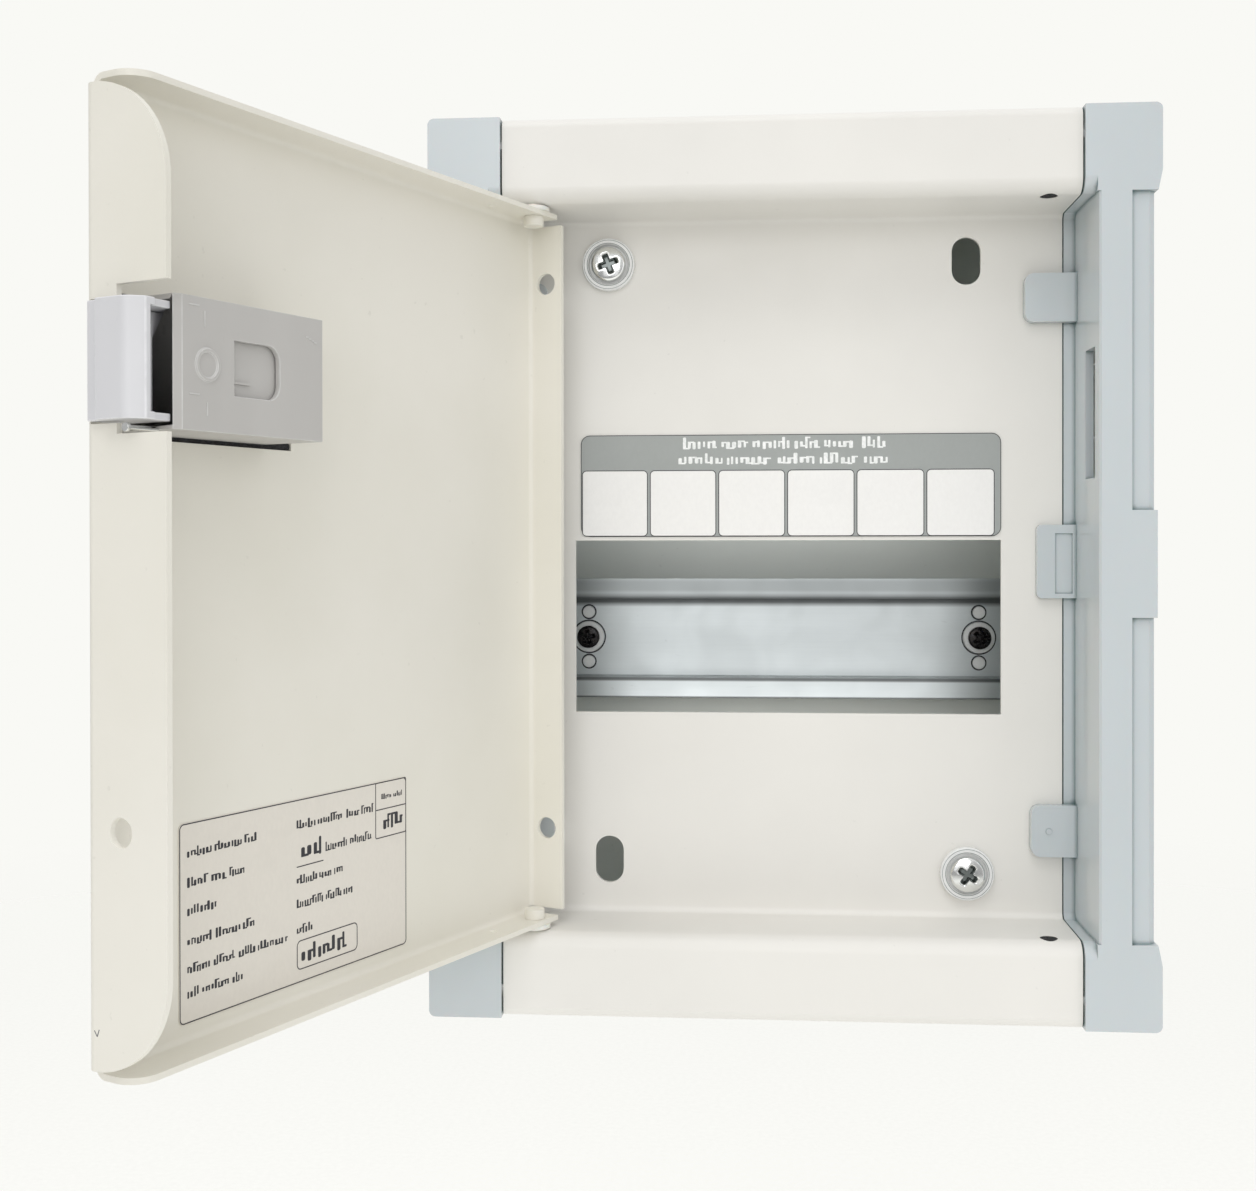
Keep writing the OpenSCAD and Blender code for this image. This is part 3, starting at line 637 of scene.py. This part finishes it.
def spring_coil():
    """The latch's coil spring as one continuous helix with closed ends."""
    low, high = shut_box("latch_spring")
    wire = 0.45 * MM
    centre_y = (low.y + high.y) / 2
    centre_z = (low.z + high.z) / 2
    radius = (high.z - low.z) / 2 - wire
    turns, per_turn, sides = 6, 28, 10
    start, end = low.x + wire, high.x - wire
    dead = 0.9
    points = []
    for i in range(turns * per_turn + 1):
        t = i / per_turn
        share = min(max((t - dead) / (turns - 2 * dead), 0.0), 1.0)
        creep = wire * 1.9
        if t < dead:
            x = start + creep * t / dead
        elif t > turns - dead:
            x = end - creep * (turns - t) / dead
        else:
            x = start + creep + (end - start - 2 * creep) * share
        a = 2 * math.pi * t
        points.append(Vector((x, centre_y + radius * math.cos(a), centre_z + radius * math.sin(a))))
    work = bmesh.new()
    rings = []
    for i, point in enumerate(points):
        ahead = (points[min(i + 1, len(points) - 1)] - points[max(i - 1, 0)]).normalized()
        out = (point - Vector((point.x, centre_y, centre_z))).normalized()
        side = ahead.cross(out).normalized()
        ring = []
        for k in range(sides):
            a = 2 * math.pi * k / sides
            offset = wire * (math.cos(a) * out + math.sin(a) * side)
            ring.append(work.verts.new(FROM_SHUT @ (point + offset)))
        rings.append(ring)
    for a, b in zip(rings, rings[1:]):
        for k in range(sides):
            j = (k + 1) % sides
            work.faces.new((a[k], a[j], b[j], b[k]))
    work.faces.new(rings[0][::-1])
    work.faces.new(rings[-1])
    mesh = closed_mesh("spring_coil", work)
    mesh.polygons.foreach_set("use_smooth", [True] * len(mesh.polygons))
    coil = add_piece("spring_coil", mesh, "bright_zinc", "door")
    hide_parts("latch_spring")
    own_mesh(coil)


def step_between(value, low, high):
    """0 below low, 1 above high, and smooth between."""
    t = min(max((value - low) / (high - low), 0.0), 1.0)
    return t * t * (3 - 2 * t)


def recess_share(x, z, turn, arm, width):
    """How deep a cross recess is at a point of a screw head, from 0 to 1."""
    soft = width * 0.3
    deepest = 0.0
    for k in range(2):
        a = turn + k * math.pi / 2
        along = abs(x * math.cos(a) + z * math.sin(a))
        across = abs(z * math.cos(a) - x * math.sin(a))
        inside = 1 - step_between(across, width / 2 - soft / 2, width / 2 + soft / 2)
        deepest = max(deepest, inside * (1 - step_between(along, arm * 0.55, arm)))
    return deepest


def screw(work, x, z, top, seat, tip, head_r, shank_r, turn):
    """A screw along Y with a domed head, a cross recess and a rolled thread.

    It runs from the head's face at top, past the head's seat, to the tip. The recess's deep
    faces get the second material, a dark metal that paints the shade in the recess.
    """
    sides, head_rings = 72, 26
    dome, rim = 0.13 * head_r, 0.1 * head_r
    pitch, depth = 0.35 * shank_r, 0.14 * shank_r
    rings = []

    def ring(radius_at, y_at):
        points = []
        for k in range(sides):
            a = 2 * math.pi * k / sides
            r = radius_at(a)
            points.append(work.verts.new((x + r * math.cos(a), y_at(a, r), z + r * math.sin(a))))
        rings.append(points)

    def top_at(a, r):
        share = recess_share(r * math.cos(a), r * math.sin(a), turn, 0.68 * head_r, 0.3 * head_r)
        return top + dome * (r / head_r) ** 2 + 0.42 * head_r * share

    centre = work.verts.new((x, top_at(0, 0), z))
    for i in range(1, head_rings + 1):
        r = (head_r - rim) * i / head_rings
        ring(lambda a, r=r: r, top_at)
    for k in range(1, 5):
        bend = k * math.pi / 8
        ring(lambda a, b=bend: head_r - rim + rim * math.sin(b),
             lambda a, r, b=bend: top + dome + rim * (1 - math.cos(b)))
    ring(lambda a: head_r, lambda a, r: seat - rim * 0.4)
    ring(lambda a: head_r - rim * 0.4, lambda a, r: seat)
    ring(lambda a: shank_r, lambda a, r: seat)
    turns = int((tip - seat) / pitch * 6)
    for i in range(1, turns):
        y = seat + (tip - seat) * i / turns
        taper = 1 - 0.35 * step_between(y, tip - shank_r, tip)

        def crest(a, y=y, taper=taper):
            phase = (y / pitch - a / (2 * math.pi)) % 1.0
            return (shank_r - depth * abs(2 * phase - 1)) * taper

        ring(crest, lambda a, r, y=y: y)
    end = work.verts.new((x, tip, z))
    floor_depth = dome + 0.1 * head_r
    for k in range(sides):
        j = (k + 1) % sides
        work.faces.new((centre, rings[0][k], rings[0][j])).material_index = 1
        work.faces.new((end, rings[-1][j], rings[-1][k]))
        for i, (a, b) in enumerate(zip(rings, rings[1:])):
            face = work.faces.new((a[k], b[k], b[j], a[j]))
            if i < head_rings - 2 and face.calc_center_median().y - top > floor_depth:
                face.material_index = 1


def shaded(obj, angle=40):
    """Smooth shading with creases where faces meet at more than angle degrees."""
    obj.data.polygons.foreach_set("use_smooth", [True] * len(obj.data.polygons))
    obj.data.set_sharp_from_angle(angle=math.radians(angle))
    return obj


def screws():
    """The two captive cover screws and the two dark rail screws, with real heads and threads."""
    shank = 2 * MM
    low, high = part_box("cover_screws")
    head, head_height = 4.5 * MM, 1.3 * MM
    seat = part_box("cover_screw_bushes")[0].y + head_height
    work = bmesh.new()
    for x, z, turn in ((low.x + head, high.z - head, 0.35), (high.x - head, low.z + head, 1.0)):
        screw(work, x, z, low.y, seat, high.y, head, shank, turn)
    cover = shaded(add_piece("captive_screws", closed_mesh("captive_screws", work), "nickel",
                             "enclosure"))
    # The second finish darkens the cross recesses' floors as painted shade.
    cover.data.materials.append(FINISHES["recess"])
    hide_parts("cover_screws")

    low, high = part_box("rail_screws")
    head, head_height = (high.z - low.z) / 2, 2.4 * MM
    middle = (low.z + high.z) / 2
    work = bmesh.new()
    for x, turn in ((low.x + head, 0.2), (high.x - head, 0.7)):
        screw(work, x, middle, low.y, low.y + head_height, high.y, head, shank, turn)
    rail = shaded(add_piece("dark_screws", closed_mesh("dark_screws", work), "black_oxide",
                            "enclosure"))
    rail.data.materials.append(FINISHES["black_oxide"])
    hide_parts("rail_screws")


def facing_front(y):
    """Places marks on a surface of the enclosure that faces the front: (x, z), height off it."""
    return lambda u, v, d: Vector((u, y - d, v))


def ring_line(work, x, z, radius, width, place):
    """A thin ring round a point of a surface."""
    frame_line(work, x - radius, x + radius, z - radius, z + radius, width, radius, INK, place, 16)


def painted_shade_rings():
    """Painted shade: dark rings round the rivets and washers, and grey rings on the clear bushes."""
    low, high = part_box("rail_rivets")
    head, head_height = 1.8 * MM, 0.8 * MM
    ends, heights = (low.x + head, high.x - head), (low.z + head, high.z - head)
    web = facing_front(low.y + head_height)
    work = bmesh.new()
    for x in ends:
        for z in heights:
            ring_line(work, x, z, head + 0.45 * MM, 0.42 * MM, web)
    for x in ends:
        ring_line(work, x, (low.z + high.z) / 2, 5.05 * MM, 0.4 * MM, web)
    add_piece("rivet_shade_rings", closed_mesh("rivet_shade_rings", work), "dark_ink_and_shade", "enclosure")

    # Grey lines on the clear bushes, painted shade where their edges look dark.
    low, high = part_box("cover_screw_bushes")
    bush = 6.9 * MM
    front = facing_front(low.y)
    work = bmesh.new()
    for x, z in ((low.x + bush, high.z - bush), (high.x - bush, low.z + bush)):
        ring_line(work, x, z, 6.45 * MM, 0.14 * MM, front)
        ring_line(work, x, z, 5.65 * MM, 0.2 * MM, front)
    add_piece("bush_shade_rings", closed_mesh("bush_shade_rings", work), "grey_shade_lines", "enclosure")


def hole_shade_plugs():
    """Black plugs in the cover's two unused hinge holes: painted shade for the holes' dark."""
    pin_low, pin_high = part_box("hinge_pin_top")
    x = -(pin_low.x + pin_high.x) / 2
    y = (pin_low.y + pin_high.y) / 2
    front_strip, inset = 21 * MM, 0.1 * MM
    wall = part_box("front_cover")[1].z - front_strip
    radius, length = 2.15 * MM, 2 * MM
    work = bmesh.new()
    for side in (-1, 1):
        pill(work, x - radius, x + radius, y - radius, y + radius, length, radius,
             lambda u, v, d, side=side: Vector((u, v, side * (wall + inset + d))))
    add_piece("hole_shade_plugs", closed_mesh("hole_shade_plugs", work), "foam", "enclosure")


HOUSING_LOW, HOUSING_HIGH = shut_box("latch_housing")
HOUSING_MIDDLE = (HOUSING_LOW.z + HOUSING_HIGH.z) / 2
BOSS_RISE = 0.4 * MM
HOUSING_FACE = HOUSING_HIGH.y - BOSS_RISE
DOOR_FRONT = shut_box("door_panel")[0].y


def on_plane(y):
    """Places marks on a plane of the shut door that faces the box: (x, z) and height off it."""
    return lambda u, v, d: FROM_SHUT @ Vector((u, y + d, v))


def housing_marks():
    """Raised mould marks on the latch housing, placed by shares of its length and height."""
    low, high = HOUSING_LOW, HOUSING_HIGH
    length, height = high.x - low.x, high.z - low.z
    line, proud = 0.28 * MM, 0.12 * MM
    thin_u, thin_v = line / length, line / height
    work = bmesh.new()

    def rib(u0, u1, v0, v1):
        pill(work, high.x - u1 * length, high.x - u0 * length, high.z - v1 * height,
             high.z - v0 * height, proud, line / 3, on_plane(HOUSING_FACE))

    rib(0.075, 0.14, 0.06, 0.06 + thin_v)
    rib(0.17, 0.17 + thin_u, 0.1, 0.22)
    rib(0.075, 0.14, 0.72, 0.72 + thin_v)
    rib(0.185, 0.185 + thin_u, 0.78, 0.88)
    for k in range(4):
        nick_u, nick_v = 0.87 + 0.02 * k, 0.155 + 0.012 * k
        rib(nick_u, nick_u + 0.02, nick_v, nick_v + thin_v)
    add_piece("housing_marks", closed_mesh("housing_marks", work), "latch_edge", "door")


def slider_face():
    """The slider's flat face in the housing's window, with one low ridge across it."""
    middle = HOUSING_MIDDLE
    place = on_plane(HOUSING_FACE - 1.8 * MM)
    left, right, half = 38.7 * MM, 52.8 * MM, 7.3 * MM
    ridge_left, ridge_right = 46.6 * MM, 51.6 * MM
    ridge_low, ridge_high = middle - 2.6 * MM, middle - 2.2 * MM
    work = bmesh.new()
    pill(work, left, right, middle - half, middle + half, 0.3 * MM, 0.6 * MM, place)
    pill(work, ridge_left, ridge_right, ridge_low, ridge_high, 0.75 * MM, 0.15 * MM, place)
    add_piece("slider_face", closed_mesh("slider_face", work), "latch_plastic", "latch")


def pocket_web():
    """A web that raises the floor of the bolt's pocket."""
    left, right, half = 62.3 * MM, 71.3 * MM, 9.0 * MM
    pocket_floor, thick = 6.05 * MM, 4.2 * MM
    work = bmesh.new()
    pill(work, left, right, HOUSING_MIDDLE - half, HOUSING_MIDDLE + half, thick, 0.4 * MM,
         on_plane(DOOR_FRONT + pocket_floor))
    add_piece("pocket_web", closed_mesh("pocket_web", work), "bolt_plastic", "latch")


def opening_shade_strips():
    """Dark foam strips in the gap between the door's latch opening and the housing: painted shade."""
    low, high, middle = HOUSING_LOW, HOUSING_HIGH, HOUSING_MIDDLE
    clear, thick = 0.05 * MM, 0.85 * MM
    hinge_end, latch_end = 20.15 * MM, high.x - 0.2 * MM
    place = on_plane(DOOR_FRONT + clear)
    work = bmesh.new()
    for v0, v1 in ((middle - 12.7 * MM, middle - 11.4 * MM), (middle + 11.9 * MM, middle + 13.0 * MM)):
        pill(work, hinge_end, low.x - clear, v0, v1, thick, 0.4 * MM, place)
    for v0, v1 in ((middle - 12.8 * MM, low.z - clear), (high.z + clear, middle + 13.1 * MM)):
        pill(work, low.x, latch_end, v0, v1, thick, 0.2 * MM, place)
    add_piece("opening_shade_strips", closed_mesh("opening_shade_strips", work), "foam", "door")


def flange_tick():
    """A small pencilled tick on the free flange, near its lower end."""
    low, high = shut_box("door_panel")
    x, y, z = high.x, low.y + 3.0 * MM, low.z + 9.2 * MM
    line, lead = 0.22 * MM, 0.01 * MM
    work = bmesh.new()

    def stroke(y0, z0, y1, z1):
        along = Vector((y1 - y0, z1 - z0)).normalized()
        side = Vector((-along.y, along.x)) * line / 2
        corners = [(y0 + side.x, z0 + side.y), (y0 - side.x, z0 - side.y),
                   (y1 - side.x, z1 - side.y), (y1 + side.x, z1 + side.y)]
        bottom = [work.verts.new(FROM_SHUT @ Vector((x, a, b))) for a, b in corners]
        top = [work.verts.new(FROM_SHUT @ Vector((x + lead, a, b))) for a, b in corners]
        work.faces.new(bottom)
        work.faces.new(top[::-1])
        for i in range(4):
            j = (i + 1) % 4
            work.faces.new((bottom[i], bottom[j], top[j], top[i]))

    stroke(y - 0.7 * MM, z + 0.5 * MM, y, z - 0.5 * MM)
    stroke(y, z - 0.5 * MM, y + 0.5 * MM, z + 0.8 * MM)
    add_piece("flange_tick", closed_mesh("flange_tick", work), "pencil", "door")


strip_print()
square_frames()
label_print()
spring_coil()
painted_shade_rings()
hole_shade_plugs()
screws()
housing_marks()
slider_face()
pocket_web()
opening_shade_strips()
flange_tick()


# ---- camera, floor and light ----

YAW, PITCH, ROLL = (math.radians(a) for a in (-4.51896, -0.28562, -0.07653))
EYE = Vector((-9.603, -467.407, 5.275)) * MM
SENSOR = 36
LENS = 44.021350
SHIFT_UP = -0.03266242


def camera():
    """A level view from just left of the box's middle, 0.47 m in front of the wall."""
    data = bpy.data.cameras.new("camera")
    obj = bpy.data.objects.new("camera", data)
    bpy.context.scene.collection.objects.link(obj)
    flat = math.cos(PITCH)
    forward = Vector((math.sin(YAW) * flat, math.cos(YAW) * flat, math.sin(PITCH)))
    level = Vector((math.cos(YAW), -math.sin(YAW), 0))
    upright = level.cross(forward)
    right = math.cos(ROLL) * level + math.sin(ROLL) * upright
    up = math.cos(ROLL) * upright - math.sin(ROLL) * level
    obj.matrix_world = Matrix.Translation(EYE) @ Matrix((right, up, -forward)).transposed().to_4x4()
    data.sensor_fit = "HORIZONTAL"
    data.sensor_width = SENSOR
    data.lens = LENS
    data.shift_y = SHIFT_UP
    data.clip_start, data.clip_end = 0.01, 100
    bpy.context.scene.camera = obj


SKY_LOW = 0.05
SKY_HIGH = 0.97
SKY_FROM, SKY_TO = -0.7, 0.9
BACKDROP = linear(249, 249, 245)
OVERHEAD_POWER = 5.0
FRONT_POWER = 2.2
EYE_POWER = 0.4
BOUNCE_POWER = 0.006
SIDE_POWER = 2.1
FLOOR_GLOW = 0.15
PLATE = (0, -0.04, -0.01)
MIDDLE = (0, -0.04, 0)


def softbox(name, place, target, size, power):
    """A white rectangular lamp at place that faces target."""
    light = bpy.data.lights.new(name, "AREA")
    light.shape = "RECTANGLE"
    light.size, light.size_y = size
    light.energy = power
    obj = bpy.data.objects.new(name, light)
    bpy.context.scene.collection.objects.link(obj)
    obj.location = place
    obj.rotation_euler = (Vector(target) - Vector(place)).to_track_quat("-Z", "Y").to_euler()
    return obj


def studio():
    """A pale surround that is brighter above than below, and near white behind the object."""
    world = bpy.data.worlds.new("studio")
    bpy.context.scene.world = world
    world.use_nodes = True
    tree = world.node_tree
    nodes, link = tree.nodes, tree.links.new
    nodes.clear()
    place = nodes.new("ShaderNodeTexCoord").outputs["Generated"]
    split = nodes.new("ShaderNodeSeparateXYZ")
    link(place, split.inputs[0])
    rise = nodes.new("ShaderNodeMapRange")
    rise.inputs["From Min"].default_value = SKY_FROM
    rise.inputs["From Max"].default_value = SKY_TO
    link(split.outputs["Z"], rise.inputs["Value"])
    ramp = nodes.new("ShaderNodeMix")
    ramp.data_type = "RGBA"
    link(rise.outputs["Result"], ramp.inputs[0])
    ramp.inputs[6].default_value = (SKY_LOW, SKY_LOW * 0.99, SKY_LOW * 0.97, 1)
    ramp.inputs[7].default_value = (SKY_HIGH, SKY_HIGH, SKY_HIGH, 1)
    seen = nodes.new("ShaderNodeLightPath").outputs["Is Camera Ray"]
    choose = nodes.new("ShaderNodeMix")
    choose.data_type = "RGBA"
    link(seen, choose.inputs[0])
    link(ramp.outputs[2], choose.inputs[6])
    choose.inputs[7].default_value = BACKDROP
    background = nodes.new("ShaderNodeBackground")
    link(choose.outputs[2], background.inputs["Color"])
    out = nodes.new("ShaderNodeOutputWorld")
    link(background.outputs[0], out.inputs["Surface"])


def lamps():
    """Three large soft lamps, a weak one near the camera, and two small ones inside the box.

    The two inside stand behind the plate, above and below the window, and light the back of
    the box that shows through it.
    """
    softbox("overhead", (-0.3, -0.9, 1.3), MIDDLE, (1.1, 0.8), OVERHEAD_POWER)
    softbox("front", (-0.1, -1.3, 0.3), PLATE, (0.8, 0.5), FRONT_POWER)
    softbox("eye", (-0.03, -1.3, 0.02), PLATE, (0.6, 0.4), EYE_POWER)
    for name, height, share in (("upper_bounce", 0.026, 1.0), ("lower_bounce", -0.054, 0.6)):
        lamp = softbox(name, (0, -0.056, height), (0, 0, height), (0.1, 0.03), BOUNCE_POWER * share)
        lamp.data.spread = math.radians(90)
    softbox("side", (1.1, -0.9, 0.1), MIDDLE, (0.8, 1.2), SIDE_POWER)


def floor():
    """A pale round floor well below the wall-mounted object, fading out into the surround."""
    drop, radius, rings, spokes = 0.42, 3.0, 24, 96
    work = bmesh.new()
    centre = work.verts.new((0, 0, -drop))
    last = None
    angles = [2 * math.pi * k / spokes for k in range(spokes)]
    for i in range(1, rings + 1):
        r = radius * i / rings
        ring = [work.verts.new((r * math.cos(a), r * math.sin(a), -drop)) for a in angles]
        for k in range(spokes):
            j = (k + 1) % spokes
            if last is None:
                work.faces.new((centre, ring[k], ring[j]))
            else:
                work.faces.new((last[k], ring[k], ring[j], last[j]))
        last = ring
    mesh = bpy.data.meshes.new("floor")
    work.to_mesh(mesh)
    work.free()
    obj = bpy.data.objects.new("floor", mesh)
    bpy.context.scene.collection.objects.link(obj)
    n = Nodes("floor_paper")
    grain = n.remap(n.noise(0.004, 4), 0.3, 0.7, 0, 1)
    n.colour(n.blend(grain, linear(240, 240, 236), linear(244, 244, 240)))
    n.roughness(n.remap(grain, 0, 1, 0.8, 0.9))
    n.fixed(Emission_Color=(0.93, 0.93, 0.9, 1), Emission_Strength=FLOOR_GLOW)
    distance = n.add("ShaderNodeVectorMath", operation="LENGTH")
    n.link(n.place, distance.inputs[0])
    fade = n.remap(distance.outputs["Value"], 0.7, 2.0, 1, 0)
    n.link(fade, n.shader.inputs["Alpha"])
    mesh.materials.append(n.material)


camera()
studio()
lamps()
floor()
bpy.context.scene.view_settings.view_transform = "Standard"
